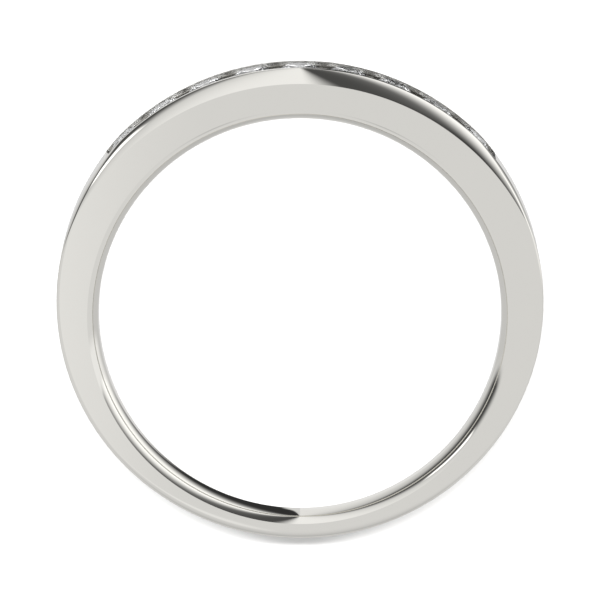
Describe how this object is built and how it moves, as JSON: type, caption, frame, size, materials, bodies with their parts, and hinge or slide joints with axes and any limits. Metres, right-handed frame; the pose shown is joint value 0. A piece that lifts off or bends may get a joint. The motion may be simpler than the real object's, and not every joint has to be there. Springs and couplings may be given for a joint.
{
  "type": "channel set wedding band",
  "caption": "Slim wedding band, thinner and narrower at the back, with a row of round brilliants set flush in a channel between smooth rails.",
  "frame": {"origin": "centre of the finger hole, midway between the two side faces", "axes": "+Z along the finger hole's axis and upwards as the ring lies on its side, +Y from the finger to the middle of the row of stones, +X to the right seen from +Z with the stones at the top"},
  "size_m": [0.0208, 0.0207, 0.0028],
  "materials": {
    "white_gold": "high polish",
    "stone": "clear, cut and polished facets"
  },
  "bodies": {
    "root": {"band": "white_gold", "stone_1": "stone", "stone_2": "stone", "stone_3": "stone", "stone_4": "stone", "stone_5": "stone", "stone_6": "stone", "stone_7": "stone", "stone_8": "stone", "stone_9": "stone"}
  },
  "joints": []
}
